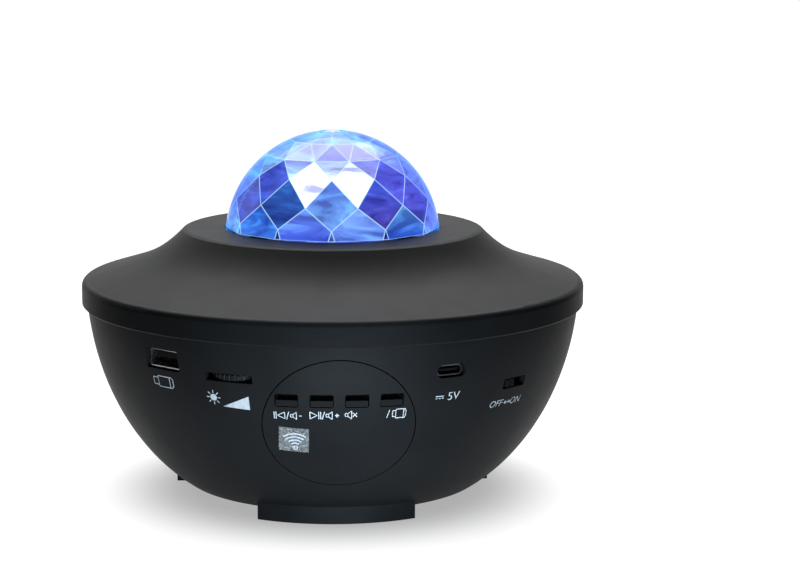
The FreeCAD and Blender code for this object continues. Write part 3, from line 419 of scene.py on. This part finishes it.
def supplyMark():  # a bar over three dashes for direct current, and the voltage
    left, low, line = supply["start"] + supply["signX"], supply["bottom"], supply["line"]
    sign = [bar(left, supply["top"], supply["end"] + supply["signX"], supply["top"], line)]
    for i in range(supply["dashes"]):
        x = left + supply["pitch"] * i
        sign.append(bar(x, low, x + supply["dash"], low, line))
    return lettering("5V", supply["letters"], supply["lettersX"]) + sign


switch = dict(letters=3.3, offX=-4.6, onX=4.5, shaft=0.9, line=0.34, tip=1.7, head=0.7)


def switchLetters():
    shapes = lettering("OFF", switch["letters"], switch["offX"])
    shapes += lettering("ON", switch["letters"], switch["onX"])
    return [[(x + whitePrint["lean"] * y, y) for x, y in shape] for shape in shapes]


def switchArrow():
    shaft, tip, head = switch["shaft"], switch["tip"], switch["head"]
    heads = [[(-tip, 0), (-head, head), (-head, -head)], [(tip, 0), (head, -head), (head, head)]]
    return [bar(-shaft, 0, shaft, 0, switch["line"])] + heads


def onBowl(azimuth, z):  # across follows the girth, up follows the flank
    slope = (bowlRadius(z + 1) - bowlRadius(z - 1)) / 2
    rise = 1 / sqrt(1 + slope * slope)

    def place(x, y):
        height = z + y * rise
        radius = bowlRadius(height) + whitePrint["lift"]
        angle = radians(azimuth) + x / bowlRadius(z)
        return Vector((radius * sin(angle), -radius * cos(angle), height)) * mm
    return place


def printedMark(name, shapes, place, material):
    mesh = bpy.data.meshes.new(name)
    work = bmesh.new()
    for shape in shapes:
        work.faces.new([work.verts.new((x, y, 0)) for x, y in shape])
    bmesh.ops.triangulate(work, faces=work.faces[:])
    bmesh.ops.remove_doubles(work, verts=work.verts[:], dist=whitePrint["merge"])
    for halving in range(whitePrint["halvings"]):
        longEdges = [edge for edge in work.edges if edge.calc_length() > whitePrint["cell"]]
        if longEdges:
            bmesh.ops.subdivide_edges(work, edges=longEdges, cuts=1)
            bmesh.ops.triangulate(work, faces=[face for face in work.faces if len(face.verts) > 3])
    for vert in work.verts:
        vert.co = place(vert.co.x, vert.co.y)
    for face in work.faces:
        face.normal_update()
        middle = face.calc_center_median()
        if face.normal.dot(Vector((middle.x, middle.y, 0))) < 0:
            face.normal_flip()
    work.to_mesh(mesh)
    work.free()
    piece = placed(name, mesh)
    mesh.materials.append(material)
    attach(piece, "root")


def printWhite():
    material, tree, shader = newMaterial("printWhite")
    specks = noiseAt(tree, objectPlace(tree), whitePrint["speckScale"], whitePrint["speckDetail"])
    stops = [(whitePrint["thinStop"], whitePrint["thin"]), (whitePrint["fullStop"], whitePrint["full"])]
    tree.links.new(ramp(tree, specks, stops), shader.inputs["Base Color"])
    bumped(tree, shader, specks, whitePrint["bump"], whitePrint["height"])
    shader.inputs["Roughness"].default_value = whitePrint["roughness"]
    return material


marks = {  # shapes, azimuth in degrees and height in millimetres
    "sunMark": (sunMark(), -29.1, 45.9),
    "wedgeMark": ([[(-4.6, -1.7), (4.4, -2.2), (4.4, 2.5)]], -23.6, 44.8),
    "stickMark": (stickMark(stick["width"], stick["height"], stick["line"]), -43.1, 48.5),
    "backMark": (backMark(), -11.6, 41.6),
    "playMark": (playMark(), -3.35, 41.9),
    "muteMark": (muteMark(), 3.3, 42.1),
    "modeMark": (modeMark(), 13.0, 42.0),
    "powerMark": (supplyMark(), 25.2, 46.2),
    "offMark": (switchLetters(), 43.4, 40.9),
    "switchArrow": (switchArrow(), 43.7, 40.9),
    "receiverMark": (receiverMark(), -10.5, 33.1),
}
ink = printWhite()
for name, (shapes, azimuth, z) in marks.items():
    printedMark(name, shapes, onBowl(azimuth, z), ink)
print("marks printed")

# Beams in the dome: a shell of glowing facets that lies within the dome's clear wall; their emission is
# painted light, standing in for the beams of the lamps inside
dome = dict(radius=35.34, centreZ=85.0, sides=12, turn=-2.1, first=11.2, second=23.2, top=66.8, kiteReach=2.2,
            upperReach=1.7, lastRadius=5.2, wedge=1.9, wedgeDrop=5.8, drop=3.2, edgeWidth=0.392)
beams = dict(scale=58.0, detail=5.0, roughness=0.55, distortion=1.2, stretch=(1.0, 1.0, 3.6), streakShare=0.9,
             edgeHighlightColour=(0.5, 0.82, 1.0), edgeHighlightShare=1.0, unlit=(0.01, 0.02, 0.06), strength=1.0, gloss=0.3,
             stops=[(0.36, (0.3, 0.32, 0.55)), (0.46, (0.75, 0.78, 0.92)), (0.56, (1.0, 1.05, 1.05)),
                    (0.66, (1.6, 1.9, 1.6))])


def paintedBeamLight():  # painted light: a glowing tone on each facet, streaked by the ripples behind it, with painted highlights on its edges
    material, tree, shader = newMaterial("domePaintedBeams")
    tone = tree.nodes.new("ShaderNodeAttribute")
    tone.attribute_name = "beamColour"
    edge = tree.nodes.new("ShaderNodeAttribute")
    edge.attribute_name = "facetEdge"
    # painted light: streaks like those of the ripple lens brighten and dim each facet's tone
    streaks = noiseAt(tree, objectPlace(tree, beams["stretch"]), beams["scale"], beams["detail"],
                      beams["roughness"], beams["distortion"])
    shade = tree.nodes.new("ShaderNodeMix")
    shade.data_type = "RGBA"
    shade.blend_type = "MULTIPLY"
    shade.inputs["Factor"].default_value = beams["streakShare"]
    tree.links.new(tone.outputs["Color"], shade.inputs["A"])
    tree.links.new(ramp(tree, streaks, beams["stops"]), shade.inputs["B"])
    # painted highlight: the outer edge of each facet is blended towards a bright cyan
    highlighted = tree.nodes.new("ShaderNodeMix")
    highlighted.data_type = "RGBA"
    highlighted.inputs["B"].default_value = (*beams["edgeHighlightColour"], 1.0)
    tree.links.new(shade.outputs["Result"], highlighted.inputs["A"])
    tree.links.new(spread(tree, edge.outputs["Fac"], 0.0, beams["edgeHighlightShare"]), highlighted.inputs["Factor"])
    tree.links.new(highlighted.outputs["Result"], shader.inputs["Emission Color"])
    shader.inputs["Base Color"].default_value = (*beams["unlit"], 1.0)
    shader.inputs["Emission Strength"].default_value = beams["strength"]
    shader.inputs["Roughness"].default_value = beams["gloss"]
    return material


def ringAt(elevation):
    return dome["radius"] * cos(radians(elevation)), dome["radius"] * sin(radians(elevation))


def beyond(low, high, reach):
    middle = high[0] * cos(pi / dome["sides"])
    return low[0] + (middle - low[0]) * reach, low[1] + (high[1] - low[1]) * reach


def domeCorner(ring, index, half):
    angle = radians(dome["turn"]) + 2 * pi * (index + (0.5 if half else 0.0)) / dome["sides"]
    return Vector((ring[0] * sin(angle), -ring[0] * cos(angle), dome["centreZ"] + ring[1]))


def footCorner(first, second, index, side):
    middle = first[0] * cos(pi / dome["sides"])
    reach = middle + (middle - second[0]) / (second[1] - first[1]) * dome["drop"]
    narrowing = dome["wedge"] * dome["drop"] / dome["wedgeDrop"]
    across = side * (reach * sin(pi / dome["sides"]) / cos(pi / dome["sides"]) - narrowing)
    angle = radians(dome["turn"]) + 2 * pi * (index + 0.5) / dome["sides"]
    height = dome["centreZ"] + first[1] - dome["drop"]
    x, y = reach * sin(angle) + across * cos(angle), across * sin(angle) - reach * cos(angle)
    return Vector((x, y, height))


# Light in the dome, as screen tones; white and bright are past 255, because they dazzle
blues = dict(white=(298, 300, 306), bright=(270, 284, 300), mist=(226, 236, 255), haze=(170, 196, 246),
             powder=(150, 190, 248), glint=(150, 226, 252), ice=(150, 206, 250), pale=(130, 194, 250),
             lilac=(128, 164, 250), sky=(114, 184, 247), cyan=(112, 198, 248), lagoon=(90, 176, 244),
             aqua=(108, 165, 240), cornflower=(112, 150, 248), hyacinth=(98, 143, 243),
             periwinkle=(110, 133, 236), harebell=(88, 120, 231), azure=(70, 127, 234),
             steel=(72, 108, 214), iris=(96, 104, 222), violet=(86, 85, 220), royal=(62, 91, 225),
             lapis=(62, 84, 211), indigo=(68, 75, 208), grape=(73, 68, 198), cobalt=(40, 75, 205),
             ultramarine=(47, 65, 186), ocean=(28, 80, 180), slate=(40, 82, 168), dusk=(34, 66, 150),
             navy=(18, 40, 136), midnight=(22, 38, 158), plum=(78, 60, 168))
# Blues of the painted light from top to bottom of each front facet, by its row and its azimuth in degrees;
# the back mirrors them
facetTones = {
    "foot": {-75: "indigo sky", -45: "ocean azure", -15: "cornflower royal", 15: "lilac hyacinth",
             45: "sky cobalt", 75: "violet periwinkle"},
    "wedge": {-60: "cyan royal", -30: "navy navy", 0: "hyacinth ultramarine", 30: "midnight midnight",
              60: "pale indigo", 90: "indigo ultramarine"},
    "kite": {-60: "ultramarine ultramarine", -30: "slate dusk", 0: "steel aqua", 30: "lapis plum",
             60: "violet grape", 90: "harebell grape"},
    "upper": {-75: "lagoon lapis", -45: "lapis ultramarine", -15: "white white", 15: "bright white",
              45: "violet violet", 75: "periwinkle indigo"},
    "crown": {-60: "cyan azure", -30: "lapis ice", 0: "haze mist", 30: "indigo violet",
              60: "periwinkle violet", 90: "periwinkle violet"},
    "shoulder": {-45: "cyan hyacinth", -30: "violet lilac", -15: "iris periwinkle", 0: "violet violet",
                 15: "violet violet", 30: "violet violet", 45: "powder violet", 90: "harebell violet"},
    "cap": {-45: "glint hyacinth", -15: "sky hyacinth", 15: "aqua hyacinth", 45: "pale aqua",
            90: "cornflower periwinkle"},
}
quarter = 90.0


def linear(shade):  # screen tone to the light that gives it
    return [((c / 255 + 0.055) / 1.055) ** 2.4 for c in shade]


def toneOf(row, azimuth):  # the listed facet nearest in azimuth, with the back folded to the front
    folded = (azimuth + 2 * quarter) % (4 * quarter) - 2 * quarter
    if abs(folded) > quarter:
        folded = (2 * quarter - abs(folded)) * (1 if folded > 0 else -1)
    nearest = min(facetTones[row], key=lambda listed: abs(listed - folded))
    high, low = facetTones[row][nearest].split()
    return linear(blues[high]), linear(blues[low])


def domeFacets():
    a, b = ringAt(dome["first"]), ringAt(dome["second"])
    c = beyond(a, b, dome["kiteReach"])
    d = beyond(b, c, dome["upperReach"])
    d = (d[0] * dome["radius"] / hypot(*d), d[1] * dome["radius"] / hypot(*d))
    e = ringAt(dome["top"])
    f = (dome["lastRadius"], sqrt(dome["radius"] ** 2 - dome["lastRadius"] ** 2))
    step = 360 / dome["sides"]
    facets = []
    for i in range(dome["sides"]):
        j = i + 1
        here, onward = step * (i + 0.5), step * j
        a0, c0, e0, f0 = [domeCorner(ring, i, False) for ring in (a, c, e, f)]
        a1, c1, e1, f1 = [domeCorner(ring, j, False) for ring in (a, c, e, f)]
        b0, d0 = [domeCorner(ring, i, True) for ring in (b, d)]
        b1, d1 = [domeCorner(ring, j, True) for ring in (b, d)]
        w0, w1, w2 = footCorner(a, b, i, -1), footCorner(a, b, i, 1), footCorner(a, b, j, -1)
        facets += [("foot", here, [w0, w1, a1, b0, a0]), ("wedge", onward, [w1, w2, a1])]
        facets += [("kite", onward, [a1, b1, c1, b0]), ("upper", here, [b0, c1, d0, c0])]
        facets += [("crown", onward, [c1, d1, d0]), ("shoulder", onward, [d0, d1, e1])]
        facets += [("shoulder", here, [d0, e1, e0]), ("cap", here, [e0, e1, f1, f0])]
    return facets


def buildFacets():
    mesh = bpy.data.meshes.new("beamFacets")
    work = bmesh.new()
    tone = work.loops.layers.float_color.new("beamColour")
    edge = work.verts.layers.float.new("facetEdge")
    for row, azimuth, loop in domeFacets():
        high, low = toneOf(row, azimuth)
        middle = sum(loop, Vector()) / len(loop)
        top, bottom = max(p.z for p in loop), min(p.z for p in loop)
        outer = [work.verts.new(p * mm) for p in loop]
        inner = [work.verts.new(p.lerp(middle, dome["edgeWidth"] / (p - middle).length) * mm) for p in loop]
        for vert in outer:
            vert[edge] = 1.0
        faces = [work.faces.new(inner)]
        for k in range(len(loop)):
            m = (k + 1) % len(loop)
            faces.append(work.faces.new([outer[k], outer[m], inner[m], inner[k]]))
        for corner in [corner for face in faces for corner in face.loops]:
            share = (corner.vert.co.z / mm - bottom) / (top - bottom)
            corner[tone] = (*[l + (h - l) * share for h, l in zip(high, low)], 1.0)
    bmesh.ops.recalc_face_normals(work, faces=work.faces[:])
    work.to_mesh(mesh)
    work.free()
    piece = placed("beamFacets", mesh)
    mesh.materials.append(paintedBeamLight())
    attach(piece, "root")


buildFacets()
print("dome facets built")

# Floor, side cards, camera and lamps
floorLook = dict(side=6.0, colour=(0.14, 0.14, 0.14), roughness=0.9, specular=0.05, shadeNear=0.046,
                 shadeFar=0.088, shadeLow=0.42)
cards = dict(side=0.28, near=-0.5, far=0.2, bottom=0.001, top=0.6, colour=(0.004, 0.004, 0.004),
             roughness=0.9)
view = dict(distance=710.1, height=192.7, pitch=0.194, azimuth=-1.5, focal=2137.3, middleX=332.6,
            middleY=330.0, photoWidth=800, photoHeight=566, sensor=36.0, clipNear=0.05, clipFar=30.0)
lamps = {
    "topSoftbox": dict(place=(0.0, 0.6, 1.1), aim=(0, 0, 0.05), size=(1.3, 0.8), power=28.0, tint=(1, 1, 1)),
    "floorBounce": dict(place=(0.005, -0.17, 0.008), aim=(0, -0.08, 0.018), size=(0.1, 0.012), power=0.2,
                        tint=(0.72, 0.88, 1)),
    "leftEdge": dict(place=(-0.95, 0.75, 0.35), aim=(0, 0, 0.05), size=(0.3, 0.8), power=2.0,
                     tint=(1, 0.99, 0.97)),
}
ambient = dict(colour=(1, 1, 1, 1), seen=1.0, cast=0.05)


def seenRays(tree):  # 1 for the rays that see the white backdrop, and 0 for the rest
    path = tree.nodes.new("ShaderNodeLightPath")
    seen = path.outputs["Is Camera Ray"]
    for other in ("Is Glossy Ray", "Is Transmission Ray"):
        either = tree.nodes.new("ShaderNodeMath")
        either.operation = "MAXIMUM"
        tree.links.new(seen, either.inputs[0])
        tree.links.new(path.outputs[other], either.inputs[1])
        seen = either.outputs["Value"]
    return seen


def stageSheet(name, corners, material):
    mesh = bpy.data.meshes.new(name)
    mesh.from_pydata(corners, [], [(0, 1, 2, 3)])
    mesh.materials.append(material)
    return placed(name, mesh)


def buildFloor():  # white but for a soft shade close round the feet
    material, tree, shader = newMaterial("floorWhite")
    shader.inputs["Base Color"].default_value = (*floorLook["colour"], 1)
    shader.inputs["Roughness"].default_value = floorLook["roughness"]
    shader.inputs["Specular IOR Level"].default_value = floorLook["specular"]
    shader.inputs["Emission Color"].default_value = (1, 1, 1, 1)
    reach = tree.nodes.new("ShaderNodeVectorMath")
    reach.operation = "LENGTH"
    tree.links.new(objectPlace(tree), reach.inputs[0])
    shade = tree.nodes.new("ShaderNodeMapRange")
    shade.interpolation_type = "SMOOTHSTEP"
    shade.inputs["From Min"].default_value = floorLook["shadeNear"]
    shade.inputs["From Max"].default_value = floorLook["shadeFar"]
    shade.inputs["To Min"].default_value = floorLook["shadeLow"]
    shade.inputs["To Max"].default_value = 1.0
    tree.links.new(reach.outputs["Value"], shade.inputs["Value"])
    glow = tree.nodes.new("ShaderNodeMath")
    glow.operation = "MULTIPLY"
    tree.links.new(shade.outputs["Result"], glow.inputs[0])
    tree.links.new(seenRays(tree), glow.inputs[1])
    tree.links.new(glow.outputs["Value"], shader.inputs["Emission Strength"])
    side = floorLook["side"]
    floor = stageSheet("floor", [(-side, -side, 0), (side, -side, 0), (side, side, 0), (-side, side, 0)],
                       material)


def buildCards():  # black sheets left and right of the view, which keep the dark flanks dark
    material, tree, shader = newMaterial("cardBlack")
    shader.inputs["Base Color"].default_value = (*cards["colour"], 1)
    shader.inputs["Roughness"].default_value = cards["roughness"]
    near, far, bottom, top = cards["near"], cards["far"], cards["bottom"], cards["top"]
    for x in (-cards["side"], cards["side"]):
        card = stageSheet("card", [(x, near, bottom), (x, far, bottom), (x, far, top), (x, near, top)],
                          material)
        card.visible_camera = False


def buildCamera():
    data = bpy.data.cameras.new("camera")
    data.sensor_width = view["sensor"]
    data.lens = view["focal"] * view["sensor"] / view["photoWidth"]
    data.shift_x = (view["photoWidth"] / 2 - view["middleX"]) / view["photoWidth"]
    data.shift_y = (view["middleY"] - view["photoHeight"] / 2) / view["photoWidth"]
    data.clip_start, data.clip_end = view["clipNear"], view["clipFar"]
    camera = placed("camera", data)
    turn, distance = radians(view["azimuth"]), view["distance"]
    camera.location = Vector((distance * sin(turn), -distance * cos(turn), view["height"])) * mm
    camera.rotation_euler = (pi / 2 - view["pitch"], 0, turn)
    bpy.context.scene.camera = camera


def buildLamps():
    for name, lamp in lamps.items():
        data = bpy.data.lights.new(name, "AREA")
        data.shape = "RECTANGLE"
        data.size, data.size_y = lamp["size"]
        data.energy = lamp["power"]
        data.color = lamp["tint"]
        light = placed(name, data)
        light.location = lamp["place"]
        towards = Vector(lamp["aim"]) - Vector(lamp["place"])
        light.rotation_euler = towards.to_track_quat("-Z", "Y").to_euler()


def buildWorld():
    world = bpy.data.worlds.new("studio")
    world.use_nodes = True
    tree = world.node_tree
    background = tree.nodes["Background"]
    background.inputs["Color"].default_value = ambient["colour"]
    strength = spread(tree, seenRays(tree), ambient["cast"], ambient["seen"])
    tree.links.new(strength, background.inputs["Strength"])
    bpy.context.scene.world = world


buildFloor()
buildCards()
buildCamera()
buildLamps()
buildWorld()
bpy.context.scene.view_settings.view_transform = "Standard"
print("stage, camera and lamps ready")
